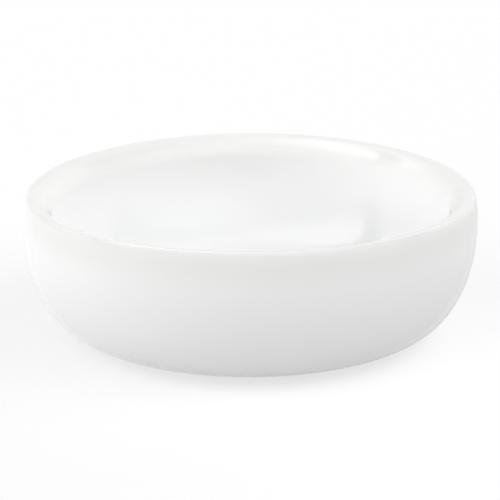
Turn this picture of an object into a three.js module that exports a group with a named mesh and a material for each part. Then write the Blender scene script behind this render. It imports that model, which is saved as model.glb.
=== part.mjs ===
// A low round porcelain dish with a thick rounded rim. Its pieces are the fired body with its foot ring,
// the glaze coat that runs from the foot over the outside, the rim and the inside, and the patch of
// glaze in the well under the foot. Millimetres, +Z up. The origin is the centre of the foot ring's
// bearing face, which is the only flat face that the dish rests on.
import * as THREE from "three";

// The dish as it is seen, glaze and all.
const bellyRadius = 50; // the widest circle of the outside
const dishHeight = 31.5; // from the bearing face to the crest of the rim
const bellyBelowCrest = 7.7; // the widest circle lies this far below the crest
const wallThickness = 5.9; // from the belly to the upright part of the inner wall
const crestInset = 1.2; // the crest of the rim lies this far in from the belly
const rimInnerDrop = 5; // height of the rounding on the rim's inner side
const floorThickness = 4.9; // at the centre, from the ceiling of the foot well to the floor
const floorDish = 0.4; // how far the floor's centre lies below its edge

// The curves of the section, as exponents: 2 is an ellipse, and more is squarer.
const cornerSquareness = 2; // the lower outside corner
const rimSquareness = 2.5; // the outside from the belly to the crest
const innerRimSquareness = 2; // the crest to the inner wall
const innerCornerSquareness = 2; // the inner wall to the floor

// The foot ring.
const footOuterRadius = 30;
const footWidth = 4; // across the ring
const footEdgeRounding = 0.5; // each edge of the bearing face
const footFillet = 0.6; // where the ring meets the underside and the well's ceiling
const undersideLift = 1.9; // the underside lies this far above the bearing face
const undersideWidth = 7.3; // level stretch between the foot's fillet and the corner
const wellHeight = 1.8; // the well's ceiling above the bearing face, at its edge
const wellDoming = 0.2; // how far the ceiling's centre lies above its edge

// The glaze.
const glazeThickness = 0.35;
const glazeFeather = 2.5; // length over which it thins out to nothing at its edge
const glazeStopDrop = 0.15; // it ends this far below the fillets, on both sides of the foot

// Facets of the round surfaces.
const circleSegments = 48;
const cornerSteps = 8;
const rimSteps = 5;
const filletSteps = 2;
const discSteps = 2;

const bellyHeight = dishHeight - bellyBelowCrest;
const crestRadius = bellyRadius - crestInset;
const innerRadius = bellyRadius - wallThickness;
const rimInnerRun = crestRadius - innerRadius;
const cornerStartRadius = footOuterRadius + footFillet + undersideWidth;
const cornerRun = bellyRadius - cornerStartRadius;
const cornerRise = bellyHeight - undersideLift;
const floorEdgeRadius = innerRadius - cornerRun; // the inner corner turns over the same run as the outer one
const innerWallTop = dishHeight - rimInnerDrop;
const wellCentreHeight = wellHeight + wellDoming;
const floorCentreHeight = wellCentreHeight + floorThickness;
const floorEdgeHeight = floorCentreHeight + floorDish;
const innerWallDrop = innerWallTop - floorEdgeHeight;
const footInnerRadius = footOuterRadius - footWidth;
const ceilingRadius = footInnerRadius - footFillet;

// An arc of a superellipse in the section plane, where x is the radius and y is the height. Its centre
// is (x, y), it reaches run sideways and rise upwards, and its angles are in degrees.
function arc(x, y, run, rise, squareness, fromAngle, toAngle, steps) {
  const bend = (value) => Math.sign(value) * Math.abs(value) ** (2 / squareness);
  return Array.from({ length: steps + 1 }, (_, i) => {
    const angle = THREE.MathUtils.degToRad(THREE.MathUtils.lerp(fromAngle, toAngle, i / steps));
    return new THREE.Vector2(x + run * bend(Math.cos(angle)), y + rise * bend(Math.sin(angle)));
  });
}

// A small round corner.
function fillet(x, y, radius, fromAngle, toAngle) {
  return arc(x, y, radius, radius, 2, fromAngle, toAngle, filletSteps);
}

// A nearly flat disc from a radius to the axis, which lies sag higher at its edge than at its centre.
function disc(radius, centreHeight, sag) {
  return Array.from({ length: discSteps }, (_, i) => {
    const share = 1 - (i + 1) / discSteps;
    return new THREE.Vector2(radius * share, centreHeight + sag * share ** 2);
  });
}

// Joins stretches of a section and drops the second of two points that meet.
function joined(...stretches) {
  const points = stretches.flat();
  return points.filter((point, i) => i === 0 || point.distanceTo(points[i - 1]) > 1e-6);
}

// The face of the body that a glaze lies on. Each point of the glazed section moves into the body by
// the glaze's depth there, which grows from nothing at the section's first point. The body is on the
// left of a section with side 1, and on its right with side -1. The last point is on the axis.
function faceUnderGlaze(section, side) {
  let length = 0;
  return section.map((point, i) => {
    if (i > 0) length += point.distanceTo(section[i - 1]);
    const depth = side * glazeThickness * Math.min(1, length / glazeFeather);
    if (i === section.length - 1) return new THREE.Vector2(0, point.y - depth);
    const along = section[i + 1].clone().sub(section[Math.max(i - 1, 0)]).normalize();
    return new THREE.Vector2(point.x - along.y * depth, point.y + along.x * depth);
  });
}

// The glazed outside, rim and inside, from the foot ring to the centre of the floor.
const coatSection = joined(
  [new THREE.Vector2(footOuterRadius, undersideLift - footFillet - glazeStopDrop)],
  fillet(footOuterRadius + footFillet, undersideLift - footFillet, footFillet, 180, 90),
  arc(cornerStartRadius, bellyHeight, cornerRun, cornerRise, cornerSquareness, -90, 0, cornerSteps),
  arc(crestRadius, bellyHeight, crestInset, bellyBelowCrest, rimSquareness, 0, 90, rimSteps),
  arc(crestRadius, innerWallTop, rimInnerRun, rimInnerDrop, innerRimSquareness, 90, 180, rimSteps),
  arc(floorEdgeRadius, innerWallTop, cornerRun, innerWallDrop, innerCornerSquareness, 0, -90, cornerSteps),
  disc(floorEdgeRadius, floorCentreHeight, floorDish),
);

// The glazed ceiling of the foot well, from the foot ring to the axis.
const wellSection = joined(
  [new THREE.Vector2(footInnerRadius, wellHeight - footFillet - glazeStopDrop)],
  fillet(ceilingRadius, wellHeight - footFillet, footFillet, 0, 90),
  disc(ceilingRadius, wellCentreHeight, -wellDoming),
);

// The bare part of the foot ring, from its inner side over the bearing face to its outer side.
const footSection = joined(
  fillet(footInnerRadius + footEdgeRounding, footEdgeRounding, footEdgeRounding, 180, 270),
  fillet(footOuterRadius - footEdgeRounding, footEdgeRounding, footEdgeRounding, 270, 360),
);

const faceUnderCoat = faceUnderGlaze(coatSection, 1);
const faceUnderWell = faceUnderGlaze(wellSection, -1);

// Turns a closed section, which starts and ends on the axis, into a solid about +Z.
function turned(name, section, material) {
  const geometry = new THREE.LatheGeometry(section, circleSegments).rotateX(Math.PI / 2);
  const mesh = new THREE.Mesh(geometry, material);
  mesh.name = name;
  return mesh;
}

const firedPorcelain = new THREE.MeshStandardMaterial({ color: 0xeeebe4, roughness: 0.75, metalness: 0 });
const whiteGlaze = new THREE.MeshStandardMaterial({ color: 0xf6f6f4, roughness: 0.12, metalness: 0 });
const thinWellGlaze = new THREE.MeshStandardMaterial({ color: 0xf3f2ee, roughness: 0.2, metalness: 0 });

const dish = new THREE.Group();
dish.add(
  turned("porcelain_body", [...faceUnderWell.toReversed(), ...footSection, ...faceUnderCoat], firedPorcelain),
  turned("glaze_coat", [...faceUnderCoat.toReversed(), ...coatSection.slice(1)], whiteGlaze),
  turned("foot_well_glaze", [...wellSection.toReversed(), ...faceUnderWell.slice(1)], thinWellGlaze),
);

export default dish;
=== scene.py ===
# %% [markdown]
# # A white glazed dish
#
# A lesson in making one quiet, shiny object look real. The dish is a single piece of porcelain: a fired body
# that stands on a bare foot ring, a white glaze over its outside, rim and inside, and a patch of the same
# glaze in the well under the foot. With a shape this plain, what the eye reads is the curve of the section,
# the gloss, and the soft shapes that a studio throws into a glossy bowl. The lesson takes them in that order.
#
# It starts from the frame of the dish's CAD model, which gives the dish's outer size and its place. The
# smaller sizes of the section are those of the CAD model too, written out again below. Lengths are in metres,
# and the dish stands on z = 0 with its axis on +Z.

# %% Load the frame
import math

import bmesh
import bpy
from mathutils import Matrix, Vector, noise


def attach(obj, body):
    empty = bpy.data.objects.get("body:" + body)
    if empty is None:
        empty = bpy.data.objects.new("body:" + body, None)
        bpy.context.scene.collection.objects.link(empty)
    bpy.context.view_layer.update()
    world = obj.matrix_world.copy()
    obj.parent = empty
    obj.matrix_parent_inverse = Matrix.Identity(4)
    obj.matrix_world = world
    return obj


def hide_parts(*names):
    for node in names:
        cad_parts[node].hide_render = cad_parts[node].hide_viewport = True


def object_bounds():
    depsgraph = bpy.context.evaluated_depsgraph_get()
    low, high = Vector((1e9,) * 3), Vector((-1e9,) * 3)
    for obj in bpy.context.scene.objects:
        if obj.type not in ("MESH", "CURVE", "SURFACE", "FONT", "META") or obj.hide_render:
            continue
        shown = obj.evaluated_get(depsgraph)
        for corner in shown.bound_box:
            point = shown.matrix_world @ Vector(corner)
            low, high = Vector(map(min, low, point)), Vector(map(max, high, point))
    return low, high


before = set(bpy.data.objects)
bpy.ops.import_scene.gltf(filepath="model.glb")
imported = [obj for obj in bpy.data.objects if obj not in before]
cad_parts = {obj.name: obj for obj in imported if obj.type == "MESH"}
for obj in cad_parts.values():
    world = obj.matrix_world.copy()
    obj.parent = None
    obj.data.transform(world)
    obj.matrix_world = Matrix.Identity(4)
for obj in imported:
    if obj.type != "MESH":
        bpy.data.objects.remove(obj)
cad_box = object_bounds()
MM = 0.001
box_in_mm = [tuple(round(v / MM, 2) for v in corner) for corner in cad_box]
print("the frame holds", sorted(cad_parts), "in a box", box_in_mm)

# %% [markdown]
# ## The section
#
# A jigger turns one outline about an axis, and the master of a slip mould is turned in the same way, so the
# model does that too. The outline is a chain of superellipse arcs. An ordinary circle arc makes a rim and a
# belly that look drawn with compasses. A superellipse has one more number, its squareness, which lets the
# shoulder of the rim stay full while the lower corner sweeps round like a plain ellipse.

# %% The sizes of the glazed dish
belly_radius = (cad_box[1].x - cad_box[0].x) / 2
dish_height = cad_box[1].z
belly_below_crest = 7.7 * MM
wall_thickness = 5.9 * MM
crest_inset = 1.2 * MM
rim_inner_drop = 5 * MM
floor_thickness = 4.9 * MM
floor_dish = 0.4 * MM
rim_squareness = 2.5

foot_outer_radius = 30 * MM
foot_width = 4 * MM
foot_edge_rounding = 0.5 * MM
foot_fillet = 0.6 * MM
underside_lift = 1.9 * MM
underside_width = 7.3 * MM
well_height = 1.8 * MM
well_doming = 0.2 * MM

glaze_thickness = 0.35 * MM
glaze_feather = 2.5 * MM
glaze_stop_drop = 0.15 * MM

# %% The places that follow from those sizes
belly_height = dish_height - belly_below_crest
crest_radius = belly_radius - crest_inset
inner_radius = belly_radius - wall_thickness
rim_inner_run = crest_radius - inner_radius
corner_start = foot_outer_radius + foot_fillet + underside_width
corner_run = belly_radius - corner_start
floor_edge = inner_radius - corner_run
inner_wall_top = dish_height - rim_inner_drop
floor_centre = well_height + well_doming + floor_thickness
inner_wall_drop = inner_wall_top - floor_centre - floor_dish
foot_inner_radius = foot_outer_radius - foot_width
ceiling_radius = foot_inner_radius - foot_fillet
print("rim's crest at", round(crest_radius / MM, 1), "mm, floor's edge at", round(floor_edge / MM, 1), "mm")


# %% Arcs that the section is joined from
def arc(x, y, run, rise, squareness, start, stop, steps):
    """A superellipse arc about (x, y) in the section plane, where x is the radius and y the height."""
    points = []
    for i in range(steps + 1):
        angle = math.radians(start + (stop - start) * i / steps)
        across, up = math.cos(angle), math.sin(angle)
        across = math.copysign(abs(across) ** (2 / squareness), across)
        up = math.copysign(abs(up) ** (2 / squareness), up)
        points.append((x + run * across, y + rise * up))
    return points


def round_corner(x, y, radius, start, stop, steps=8):
    """A quarter of a small circle, such as a fillet."""
    circle = 2
    return arc(x, y, radius, radius, circle, start, stop, steps)


def level(start, stop, height, steps=6):
    """A level stretch between two radii, without its end points."""
    return [(start + (stop - start) * i / steps, height) for i in range(1, steps)]


def disc(radius, centre_height, lift, steps=24):
    """A nearly flat stretch from a radius to the axis, lying lift higher at its edge than at its centre."""
    shares = [1 - (i + 1) / steps for i in range(steps)]
    return [(radius * s, centre_height + lift * s * s) for s in shares]


def joined(*stretches):
    """The stretches as one outline, without the points where two of them meet twice."""
    points = []
    for point in (p for stretch in stretches for p in stretch):
        if not points or math.dist(points[-1], point) > 1e-7:
            points.append(point)
    return points


# %% The stretches of the glazed outline
ELLIPSE = 2
CORNER_STEPS = 44
OUTER_RIM_STEPS = 52
INNER_RIM_STEPS = 44
underside_rise = belly_height - underside_lift
glaze_top = underside_lift - foot_fillet

outer_fillet = round_corner(foot_outer_radius + foot_fillet, glaze_top, foot_fillet, 180, 90)
outer_corner = arc(corner_start, belly_height, corner_run, underside_rise, ELLIPSE, -90, 0, CORNER_STEPS)
outer_rim = arc(
    crest_radius, belly_height, crest_inset, belly_below_crest, rim_squareness, 0, 90, OUTER_RIM_STEPS
)
inner_rim = arc(
    crest_radius, inner_wall_top, rim_inner_run, rim_inner_drop, ELLIPSE, 90, 180, INNER_RIM_STEPS
)
inner_corner = arc(floor_edge, inner_wall_top, corner_run, inner_wall_drop, ELLIPSE, 0, -90, CORNER_STEPS)
print("the finest steps are", OUTER_RIM_STEPS, "over the outside of the rim")

# %% The glazed outline, from the foot ring over the rim to the middle of the floor
coat_outline = joined(
    [(foot_outer_radius, glaze_top - glaze_stop_drop)],
    outer_fillet,
    level(corner_start - underside_width, corner_start, underside_lift),
    outer_corner,
    outer_rim,
    inner_rim,
    inner_corner,
    disc(floor_edge, floor_centre, floor_dish),
)
print("the glaze is", len(coat_outline), "points long in section")

# %% The outlines of the well's glaze and of the bare foot
well_outline = joined(
    [(foot_inner_radius, well_height - foot_fillet - glaze_stop_drop)],
    round_corner(ceiling_radius, well_height - foot_fillet, foot_fillet, 0, 90),
    disc(ceiling_radius, well_height + well_doming, -well_doming),
)
foot_edges = (foot_inner_radius + foot_edge_rounding, foot_outer_radius - foot_edge_rounding)
foot_outline = joined(
    round_corner(foot_edges[0], foot_edge_rounding, foot_edge_rounding, 180, 270),
    level(*foot_edges, 0),
    round_corner(foot_edges[1], foot_edge_rounding, foot_edge_rounding, 270, 360),
)
print("outline points: well", len(well_outline), "foot", len(foot_outline))

# %% The face that the glaze lies on
def under_glaze(outline, side):
    """The outline moved into the body by the glaze's depth, which grows from nothing at the first point."""
    face = []
    length = 0
    for i, (x, y) in enumerate(outline):
        if i:
            length += math.dist(outline[i], outline[i - 1])
        depth = side * glaze_thickness * min(1, length / glaze_feather)
        if i == len(outline) - 1:
            face.append((0, y - depth))
            continue
        before, after = outline[max(i - 1, 0)], outline[i + 1]
        along = (Vector(after) - Vector(before)).normalized()
        face.append((x - along.y * depth, y + along.x * depth))
    return face


def every_third(outline):
    """The outline with fewer points, for a face that no one sees."""
    return [*outline[:-1:3], outline[-1]]


under_coat = every_third(under_glaze(coat_outline, 1))
under_well = every_third(under_glaze(well_outline, -1))
print("points under the glaze: coat", len(under_coat), "well", len(under_well))

# %% [markdown]
# ## Out of the kiln
#
# Porcelain shrinks and softens in the fire, so no real rim is a dead flat, dead round circle. Here the rim
# rises a third of a millimetre at the front and back and sinks as much at the sides, the circle is a hair
# oval, and the walls roll by a few hundredths. It's too little to see as a shape, but it bends the long soft
# reflections, and without that a turned solid looks computed.

# %% How the fire moved the dish
rim_saddle = 0.34 * MM
rim_oval = 0.16 * MM
wall_roll = 0.05 * MM
roll_pitch = 24 * MM
oval_turn = 0.9
foot_share = 1 / 4


def fired(x, y, z):
    """Where a point of the true turned shape ends up after the firing."""
    height = max(z, 0) / dish_height
    angle = math.atan2(y, x)
    radius = math.hypot(x, y)
    ease = height * height
    share = min(radius / belly_radius, 1)
    out = rim_oval * ease * math.cos(2 * angle + oval_turn) * share
    rolled = noise.noise(Vector((x, y, z)) / roll_pitch)
    out += wall_roll * rolled * share * min(1, height / foot_share)
    lift = -rim_saddle * ease * math.cos(2 * angle) * share
    if radius < 1e-9:
        return Vector((x, y, z))
    return Vector((x + x / radius * out, y + y / radius * out, z + lift))


front_crest = fired(0, -crest_radius, dish_height)
print("the front of the crest ends up at", [round(v / MM, 2) for v in front_crest], "mm")

# %% [markdown]
# ## Turning the solids
#
# A Screw or a Spin modifier would turn the outline too, but code that places the points itself can pass each
# one through the kiln on its way, and can write on it how far along the glaze it lies. That length, the way
# from the middle of the floor, is what the glaze's finish uses to find the rim and the corner.

# %% Turning a section into a solid
SEGMENTS = 320


def ring(bm, x, y):
    """A circle of points at one radius and height, as the kiln left them, or a single point on the axis."""
    if x < 1e-9:
        return [bm.verts.new(fired(0, 0, y))]
    turns = [2 * math.pi * k / SEGMENTS for k in range(SEGMENTS)]
    return [bm.verts.new(fired(x * math.cos(a), x * math.sin(a), y)) for a in turns]


def turned(name, section):
    """A closed smooth solid made by turning a section that starts and ends on the axis."""
    bm = bmesh.new()
    layer = bm.verts.layers.float.new("way_from_middle")
    way = 0
    rings = []
    for point, last in zip(section[::-1], [section[-1], *section[::-1]]):
        way += math.dist(point, last)
        rings.append(ring(bm, *point))
        for vertex in rings[-1]:
            vertex[layer] = way
    for high, low in zip(rings, rings[1:]):
        for k in range(SEGMENTS):
            n = (k + 1) % SEGMENTS
            corners = [low[k % len(low)], low[n % len(low)], high[n % len(high)], high[k % len(high)]]
            bm.faces.new(list(dict.fromkeys(corners)))
    mesh = bpy.data.meshes.new(name)
    bm.to_mesh(mesh)
    bm.free()
    mesh.polygons.foreach_set("use_smooth", [True] * len(mesh.polygons))
    piece = bpy.data.objects.new(name, mesh)
    bpy.context.scene.collection.objects.link(piece)
    print(name, "has", len(mesh.vertices), "points and", len(mesh.polygons), "faces")
    return piece


fired_body = turned("fired_body", [*under_well[::-1], *foot_outline, *under_coat])
glaze_coat = turned("outer_and_inner_glaze", [*under_coat[::-1], *coat_outline[1:]])
well_glaze = turned("well_glaze", [*well_outline[::-1], *under_well[1:]])

# %% Where each piece belongs
for piece, cad_node, slot in (
    (fired_body, "porcelain_body", "fired_porcelain"),
    (glaze_coat, "glaze_coat", "white_glaze"),
    (well_glaze, "foot_well_glaze", "well_glaze"),
):
    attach(piece, "root")
    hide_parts(cad_node)
    print(piece.name, "stands in for", cad_node)

# %% [markdown]
# ## Finishes
#
# A glaze is glass that was melted onto clay. It looks white because the clay under it is white, and it shines
# because its skin is glass. A picture wrapped round the dish could show that, but it would blur close up and
# show its seam. Nodes have neither fault: each finish below is worked out at every point from the point's own
# place, in metres, so a grain of half a millimetre is half a millimetre on every piece.

# %% Small helpers for node trees
def new_finish(name):
    """A new material, with its node tree and its surface shader."""
    material = bpy.data.materials.new(name)
    material.use_nodes = True
    return material, material.node_tree, material.node_tree.nodes["Principled BSDF"]


def fill(tree, socket, value):
    """Wires one socket to another, or writes a number, colour or vector into it."""
    if isinstance(value, bpy.types.NodeSocket):
        tree.links.new(value, socket)
    else:
        socket.default_value = value


def node(tree, kind, settings, inputs):
    """A node with its settings made and its inputs filled."""
    made = tree.nodes.new(kind)
    for name, value in settings.items():
        setattr(made, name, value)
    for name, value in inputs.items():
        fill(tree, made.inputs[name], value)
    return made


def calc(tree, operation, *values):
    """One step of arithmetic on sockets or numbers."""
    made = node(tree, "ShaderNodeMath", {"operation": operation}, {})
    for socket, value in zip(made.inputs, values):
        fill(tree, socket, value)
    return made.outputs[0]


def ramp(tree, value, low, high, result_low=0, result_high=1):
    """The value carried smoothly from one span of numbers to another, and held at its ends."""
    inputs = {"Value": value, "From Min": low, "From Max": high, "To Min": result_low, "To Max": result_high}
    return node(tree, "ShaderNodeMapRange", {"interpolation_type": "SMOOTHSTEP"}, inputs).outputs["Result"]


def grain(tree, place, pitch, detail=2):
    """Soft noise from 0 to 1, whose lumps are about one pitch across."""
    inputs = {"Vector": place, "Scale": 1 / pitch, "Detail": detail}
    return node(tree, "ShaderNodeTexNoise", {}, inputs).outputs["Fac"]


def blend(tree, share, first, second):
    """Two colours mixed by a share."""
    made = node(tree, "ShaderNodeMix", {"data_type": "RGBA"}, {})
    fill(tree, made.inputs["Factor"], share)
    fill(tree, made.inputs[6], first)
    fill(tree, made.inputs[7], second)
    return made.outputs[2]


def relief(tree, shader, heights):
    """Gives a surface its fine relief. Each height is a pattern from 0 to 1 and its depth in metres."""
    total = 0
    for pattern, depth in heights:
        total = calc(tree, "MULTIPLY_ADD", pattern, depth, total)
    bump = node(tree, "ShaderNodeBump", {}, {"Strength": 1, "Distance": 1, "Height": total})
    tree.links.new(bump.outputs["Normal"], shader.inputs["Normal"])


# %% [markdown]
# ### Pinholes and specks
#
# Every kiln leaves a few. A grain of iron in the clay melts into a faint brown speck, and a bubble that broke
# late leaves a pinhole. A Voronoi texture scatters one point in each cell of a loose grid, and each cell also
# has a random number. Keeping only the cells with a low number makes the specks few and uneven, which a
# plain noise threshold can't do without clumping them.

# %% Scattered specks
def specks(tree, place, spacing, radius, kept):
    """1 on small round specks and 0 elsewhere. Only a share of the cells, kept, has one."""
    inputs = {"Vector": place, "Scale": 1 / spacing, "Randomness": 1}
    cells = node(tree, "ShaderNodeTexVoronoi", {}, inputs)
    number = node(tree, "ShaderNodeSeparateColor", {}, {"Color": cells.outputs["Color"]}).outputs["Red"]
    chosen = calc(tree, "LESS_THAN", number, kept)
    spot = ramp(tree, cells.outputs["Distance"], 0.4 * radius / spacing, radius / spacing, 1, 0)
    return calc(tree, "MULTIPLY", spot, chosen)


# %% [markdown]
# ### The white glaze
#
# Such a glaze is about a third of a millimetre of white glass. It was dipped or sprayed on a little
# unevenly, and in the fire it flowed: it thinned over the crest of the rim, where the warmer clay shows
# through, and it gathered in the corner round the floor, where it looks a shade cooler. The corner differs by
# about a hundredth part of the tone and the crest by a twentieth. Much more reads as dirt on a white dish.
#
# Its skin is not a mirror either. Glass that cooled on clay keeps a fine ripple like orange peel, over the
# long low ripple of the jigger's blade that ran round the wall. The inside keeps its full shine. The outside,
# which a shelf and hands touch, is a little softer. The ripples are relief, because they only turn the
# reflections; to carve them and the pinholes into the mesh would take a thousand times as many faces.

# %% Where the glaze thins and gathers
def outline_length(points):
    """The length of an outline."""
    return sum(math.dist(a, b) for a, b in zip(points, points[1:]))


corner_middle = 0.35
corner_way = floor_edge + corner_middle * outline_length(inner_corner)
crest_way = floor_edge + outline_length(inner_corner) + outline_length(inner_rim)
print("along the glaze the corner lies at", round(corner_way / MM, 1), "mm")
print("and the crest at", round(crest_way / MM, 1), "mm")

# %% The white glaze
glaze_white = (0.918, 0.918, 0.914, 1)
glaze_gathered = (0.902, 0.907, 0.910, 1)
glaze_thin = (0.874, 0.871, 0.863, 1)
iron_speck = (0.50, 0.45, 0.38, 1)
inside_gloss = 0.055
outside_gloss = 0.13
REFRACTIVE_INDEX = 1.5

white_glaze, tree, shader = new_finish("white_glaze")
place = node(tree, "ShaderNodeTexCoord", {}, {}).outputs["Object"]
way = node(tree, "ShaderNodeAttribute", {"attribute_name": "way_from_middle"}, {}).outputs["Fac"]

from_corner = calc(tree, "ABSOLUTE", calc(tree, "SUBTRACT", way, corner_way))
from_crest = calc(tree, "ABSOLUTE", calc(tree, "SUBTRACT", way, crest_way))
patchy = grain(tree, place, 14 * MM)
near_corner = ramp(tree, from_corner, 2 * MM, 12 * MM, 1, 0)
near_crest = ramp(tree, from_crest, 2.5 * MM, 9 * MM, 1, 0)
gathered = calc(tree, "MULTIPLY", near_corner, ramp(tree, patchy, 0.3, 0.6, 0.5, 1))
thin = calc(tree, "MULTIPLY", near_crest, ramp(tree, patchy, 0.4, 0.7, 1, 0.75))
tone = blend(tree, gathered, glaze_white, glaze_gathered)
tone = blend(tree, thin, tone, glaze_thin)
iron = specks(tree, place, 3.4 * MM, 0.09 * MM, 0.07)
tone = blend(tree, calc(tree, "MULTIPLY", iron, 0.35), tone, iron_speck)
tree.links.new(tone, shader.inputs["Base Color"])

outside = ramp(tree, way, crest_way - 8 * MM, crest_way + 3 * MM)
cloudy = ramp(tree, grain(tree, place, 5 * MM, 3), 0.35, 0.7, -0.015, 0.03)
softness = calc(tree, "MULTIPLY_ADD", outside, outside_gloss - inside_gloss, inside_gloss)
tree.links.new(calc(tree, "ADD", softness, cloudy), shader.inputs["Roughness"])
print(white_glaze.name, "takes", len(tree.nodes), "nodes before its relief")
shader.inputs["IOR"].default_value = REFRACTIVE_INDEX

# %% The relief of the glaze
stretch = {0: place, 1: (0.12, 0.12, 1)}
along_the_turn = node(tree, "ShaderNodeVectorMath", {"operation": "MULTIPLY"}, stretch).outputs[0]
blade_ripple = grain(tree, along_the_turn, 3.2 * MM, 0)
pinholes = specks(tree, place, 4.6 * MM, 0.07 * MM, 0.12)
relief(tree, shader, (
    (grain(tree, place, 11 * MM, 1), 0.030 * MM),
    (blade_ripple, 0.007 * MM),
    (grain(tree, place, 1.7 * MM, 1), 0.0018 * MM),
    (pinholes, -0.02 * MM),
))
glaze_coat.data.materials.append(white_glaze)
print(white_glaze.name, "takes", len(tree.nodes), "nodes with it")

# %% [markdown]
# ### The glaze in the well
#
# Under the foot the glaze was wiped or dabbed on, so it covers less evenly than outside. The body's warmer
# colour shows through the thin places, and more pinholes stayed open, because no one looks there.

# %% The glaze in the well
well_white = (0.880, 0.874, 0.858, 1)
well_thin = (0.845, 0.828, 0.795, 1)

thin_glaze, tree, shader = new_finish("thin_well_glaze")
place = node(tree, "ShaderNodeTexCoord", {}, {}).outputs["Object"]
dabs = grain(tree, place, 9 * MM, 3)
tone = blend(tree, ramp(tree, dabs, 0.45, 0.7), well_white, well_thin)
iron = specks(tree, place, 2.6 * MM, 0.12 * MM, 0.2)
tone = blend(tree, calc(tree, "MULTIPLY", iron, 0.5), tone, iron_speck)
tree.links.new(tone, shader.inputs["Base Color"])
tree.links.new(ramp(tree, dabs, 0.35, 0.75, 0.12, 0.34), shader.inputs["Roughness"])
shader.inputs["IOR"].default_value = REFRACTIVE_INDEX
relief(tree, shader, (
    (dabs, 0.03 * MM),
    (grain(tree, place, 1.3 * MM, 1), 0.004 * MM),
    (specks(tree, place, 3 * MM, 0.15 * MM, 0.3), -0.05 * MM),
))
well_glaze.data.materials.append(thin_glaze)
print(thin_glaze.name, "takes", len(tree.nodes), "nodes")

# %% [markdown]
# ### The bare foot
#
# The foot ring was wiped clean before firing, because glaze would have stuck the dish to the kiln shelf. What
# shows there is the fired clay itself: matt, a shade warmer and darker than the glaze, finely grained like
# fresh chalk, with the odd grain of kiln sand. The bearing face is rubbed smoother and greyer by every shelf
# it was slid along, and it is found by its height, since it is the only part that lies at zero.

# %% The bare foot
clay = (0.800, 0.784, 0.748, 1)
clay_dark = (0.735, 0.715, 0.675, 1)
rubbed = (0.700, 0.690, 0.670, 1)
kiln_sand = (0.40, 0.36, 0.31, 1)

bare_porcelain, tree, shader = new_finish("bare_porcelain")
place = node(tree, "ShaderNodeTexCoord", {}, {}).outputs["Object"]
height = node(tree, "ShaderNodeSeparateXYZ", {}, {"Vector": place}).outputs["Z"]
mottled = grain(tree, place, 3 * MM, 4)
fine = grain(tree, place, 0.3 * MM, 2)
tone = blend(tree, ramp(tree, mottled, 0.35, 0.7), clay, clay_dark)
bearing = ramp(tree, height, 0.02 * MM, 0.3 * MM, 1, 0)
worn = calc(tree, "MULTIPLY", bearing, ramp(tree, mottled, 0.3, 0.6))
tone = blend(tree, calc(tree, "MULTIPLY", worn, 0.6), tone, rubbed)
sand = specks(tree, place, 1.9 * MM, 0.14 * MM, 0.12)
tone = blend(tree, calc(tree, "MULTIPLY", sand, 0.6), tone, kiln_sand)
tree.links.new(tone, shader.inputs["Base Color"])
tree.links.new(calc(tree, "MULTIPLY_ADD", worn, -0.25, 0.78), shader.inputs["Roughness"])
shader.inputs["IOR"].default_value = REFRACTIVE_INDEX
relief(tree, shader, ((fine, 0.02 * MM), (mottled, 0.02 * MM), (sand, 0.04 * MM)))
fired_body.data.materials.append(bare_porcelain)
print(bare_porcelain.name, "takes", len(tree.nodes), "nodes")

# %% [markdown]
# ## The studio
#
# White ware is lit inside a tent of white cloth. The lamps stand outside, and the cloth turns each of them
# into a wide soft patch of light, so that the glossy bowl has no lamp to mirror. Lamps made as area lights
# would fall off over a floor this wide. A sky painted by direction doesn't, so the tent is the world's
# background.
#
# The floor is a lit table. It gives the dish the grey of a white board in soft light, while the camera, and
# the glaze's reflections of it, show it nearly burnt out to white. One floor can't do both, so the surface
# asks which kind of ray meets it. In the reflections the table is brighter toward the left, where the strong
# lamp stands, so the two edges of the bowl end in different greys.

# %% The floor
floor_radius = 7.0
board_white = 0.68
board_seen = 0.30
table_glow = 0.70
glow_in_glaze_left = 0.80
glow_in_glaze_right = 0.52

bm = bmesh.new()
bmesh.ops.create_circle(bm, cap_ends=True, segments=96, radius=floor_radius)
floor_mesh = bpy.data.meshes.new("studio_floor")
bm.to_mesh(floor_mesh)
bm.free()
studio_floor = bpy.data.objects.new("studio_floor", floor_mesh)
bpy.context.scene.collection.objects.link(studio_floor)

board, tree, _ = new_finish("lit_table")
tree.nodes.clear()
ray = node(tree, "ShaderNodeLightPath", {}, {}).outputs
matt = node(tree, "ShaderNodeBsdfDiffuse", {}, {"Color": (board_white, board_white, board_white, 1)})
pale = node(tree, "ShaderNodeBsdfDiffuse", {}, {"Color": (board_seen, board_seen, board_seen, 1)})
place = node(tree, "ShaderNodeTexCoord", {}, {}).outputs["Object"]
across = node(tree, "ShaderNodeSeparateXYZ", {}, {"Vector": place}).outputs["X"]
in_glaze = ramp(tree, across, -80 * MM, 80 * MM, glow_in_glaze_left, glow_in_glaze_right)
strength = node(tree, "ShaderNodeMix", {}, {0: ray["Is Camera Ray"], 2: in_glaze, 3: table_glow}).outputs[0]
glow = node(tree, "ShaderNodeEmission", {}, {"Strength": strength})
burnt_out = node(tree, "ShaderNodeAddShader", {}, {0: pale.outputs[0], 1: glow.outputs[0]}).outputs[0]
looked_at = calc(tree, "MAXIMUM", ray["Is Camera Ray"], ray["Is Glossy Ray"])
either = node(tree, "ShaderNodeMixShader", {}, {0: looked_at, 1: matt.outputs[0], 2: burnt_out})
node(tree, "ShaderNodeOutputMaterial", {}, {"Surface": either.outputs[0]})
studio_floor.data.materials.append(board)
print(studio_floor.name, "is", floor_radius, "m in radius")

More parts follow.
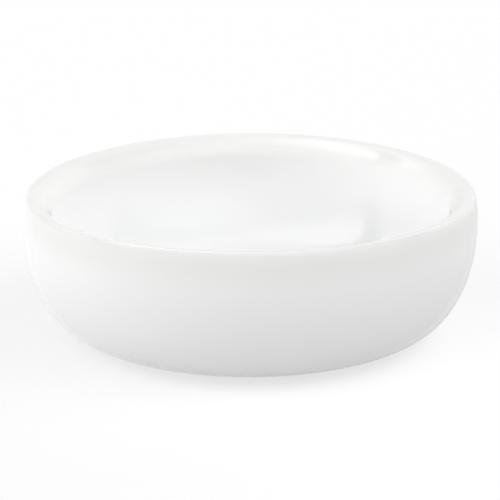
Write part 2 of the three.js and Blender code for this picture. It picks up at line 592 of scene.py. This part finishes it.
# %% [markdown]
# ### The tent's light
#
# The light that colours the dish comes from a few round patches of cloth that fade out at their edges. The
# strongest is low on the left, which is why the bowl's outside falls off from left to right. The others fill
# the inside, the crest and the back. A single even sky would be simpler, and would leave the dish flat.
#
# The dish was rendered under one patch at a time, from many directions, and a least-squares fit gave the six
# patches, and their strengths, that came nearest to the tones wanted. Afterwards low_left was moved and
# high_right dimmed a little, and the weak one at the top was added.


# %% A round patch of the tent
def facing(azimuth, elevation):
    """A direction in the studio. Azimuth 0 is the camera's side and 90 is on its right; degrees."""
    turn, rise = math.radians(azimuth), math.radians(elevation)
    return math.sin(turn) * math.cos(rise), -math.cos(turn) * math.cos(rise), math.sin(rise)


def toward(tree, sight, azimuth, elevation):
    """How nearly the sight points in a direction: the cosine of the angle between them."""
    inputs = {0: sight, 1: facing(azimuth, elevation)}
    return node(tree, "ShaderNodeVectorMath", {"operation": "DOT_PRODUCT"}, inputs).outputs["Value"]


def soft_patch(tree, sight, azimuth, elevation, reach, light):
    """The light of a round patch of cloth, which fades to nothing at reach degrees from its middle."""
    nearness = toward(tree, sight, azimuth, elevation)
    return ramp(tree, nearness, math.cos(math.radians(reach)), 1, 0, light)


def lit_cloth(tree, sight, glow, patches):
    """The even glow of the cloth with its patches added."""
    light = glow
    for patch in patches.values():
        light = calc(tree, "ADD", light, soft_patch(tree, sight, *patch))
    return light


# %% The light that falls on the dish
tent = bpy.data.worlds.new("white_tent")
bpy.context.scene.world = tent
tent.use_nodes = True
tree = tent.node_tree
sight = node(tree, "ShaderNodeTexCoord", {}, {}).outputs["Generated"]
no_glow = 0
falling_light = lit_cloth(tree, sight, no_glow, {
    "low_left": (264, 7, 37, 3.35),
    "low_front": (330, 10, 34, 1.03),
    "high_left_front": (315, 42, 38, 1.75),
    "high_right_front": (45, 42, 38, 1.35),
    "high_right": (90, 42, 38, 2.24),
    "low_back": (150, 10, 34, 2.74),
    "top": (0, 90, 34, 0.22),
})
print("the tent's light takes", len(tree.nodes), "nodes")

# %% [markdown]
# ### What the glaze mirrors
#
# Mirrored straight, those patches would burn white spots into the bowl. A studio can hang a second layer of
# cloth to calm them, and here the reflections get a tent of their own: even, with one wide bright patch high
# on the left, a little more light in front and near the horizon, and a dark gap on each side where the cloth
# hangs apart. The patch and the gaps are what the eye knows as the shine of a bowl. Each gap is sharp along
# one slanting edge and fades out toward the other.


# %% A gap between two lengths of cloth
def gap(tree, sight, middle, reach, *edges):
    """1 in the gap and 0 outside it. Each edge is a direction square to it, and how far from that circle
    the gap begins and is full. The gap also ends softly between two angles from its middle."""
    outer, full = (math.cos(math.radians(angle)) for angle in reach)
    inside = ramp(tree, toward(tree, sight, *middle), outer, full)
    for across, begins, is_full in edges:
        inside = calc(tree, "MULTIPLY", inside, ramp(tree, toward(tree, sight, *across), begins, is_full))
    return inside


# %% The tent that the glaze mirrors
even_glow = 0.80
mirrored_light = lit_cloth(tree, sight, even_glow, {
    "high_left": (260, 56, 42, 2.10),
    "front": (25, 34, 34, 0.35),
    "horizon": (180, 0, 80, 0.22),
})
right_gap = gap(tree, sight, (93, 34), (40, 26), ((342, 34), -0.20, -0.16), ((0, 0), 0.27, 0.10))
left_gap = gap(tree, sight, (265, 30), (50, 34), ((18, 34), 0.15, 0.11), ((18, 34), -0.16, -0.02))
for opening in (right_gap, left_gap):
    cloth = calc(tree, "SUBTRACT", 1, opening)
    mirrored_light = calc(tree, "MULTIPLY", mirrored_light, cloth)
print("with the mirrored tent it takes", len(tree.nodes), "nodes")

# %% The tent's three answers
backdrop_white = 1.05
ray = node(tree, "ShaderNodeLightPath", {}, {}).outputs
tent_light = node(tree, "ShaderNodeMix", {}, {0: ray["Is Glossy Ray"], 2: falling_light, 3: mirrored_light})
choice = {0: ray["Is Camera Ray"], 2: tent_light.outputs[0], 3: backdrop_white}
tent_seen = node(tree, "ShaderNodeMix", {}, choice)
tree.links.new(tent_seen.outputs[0], tree.nodes["Background"].inputs["Strength"])
tree.nodes["Background"].inputs["Color"].default_value = (1, 1, 1, 1)
print("the camera sees a backdrop of", backdrop_white, "behind the table")

# %% [markdown]
# ## The camera
#
# A long lens from forty centimetres, looking down by almost eighteen degrees. The dish sits just off the
# middle of the frame, so the camera aims a fraction of a degree above and beside it, and it leans by a
# quarter of a degree.

# %% Camera
camera_distance = 8 * belly_radius
camera_elevation = math.radians(17.66)
aim_up = math.radians(0.161)
aim_left = math.radians(0.026)
camera_lean = math.radians(0.247)
lens_mm = 128.7

camera_data = bpy.data.cameras.new("camera")
camera_data.sensor_width = 36
camera_data.lens = lens_mm
camera_data.clip_start = 0.01
camera_data.clip_end = 30
camera = bpy.data.objects.new("camera", camera_data)
bpy.context.scene.collection.objects.link(camera)
bpy.context.scene.camera = camera

middle = Vector((0, 0, dish_height / 2))
back = Vector((0, -math.cos(camera_elevation), math.sin(camera_elevation)))
camera.location = middle + back * camera_distance
look = (-back).to_track_quat("-Z", "Y").to_matrix().to_4x4()
aim = Matrix.Rotation(aim_up, 4, "X") @ Matrix.Rotation(aim_left, 4, "Y")
camera.rotation_euler = (look @ aim @ Matrix.Rotation(-camera_lean, 4, "Z")).to_euler()
print("camera at", [round(v, 3) for v in camera.location], "lens", lens_mm, "mm")

# %% Finish
bpy.context.scene.view_settings.view_transform = "Standard"
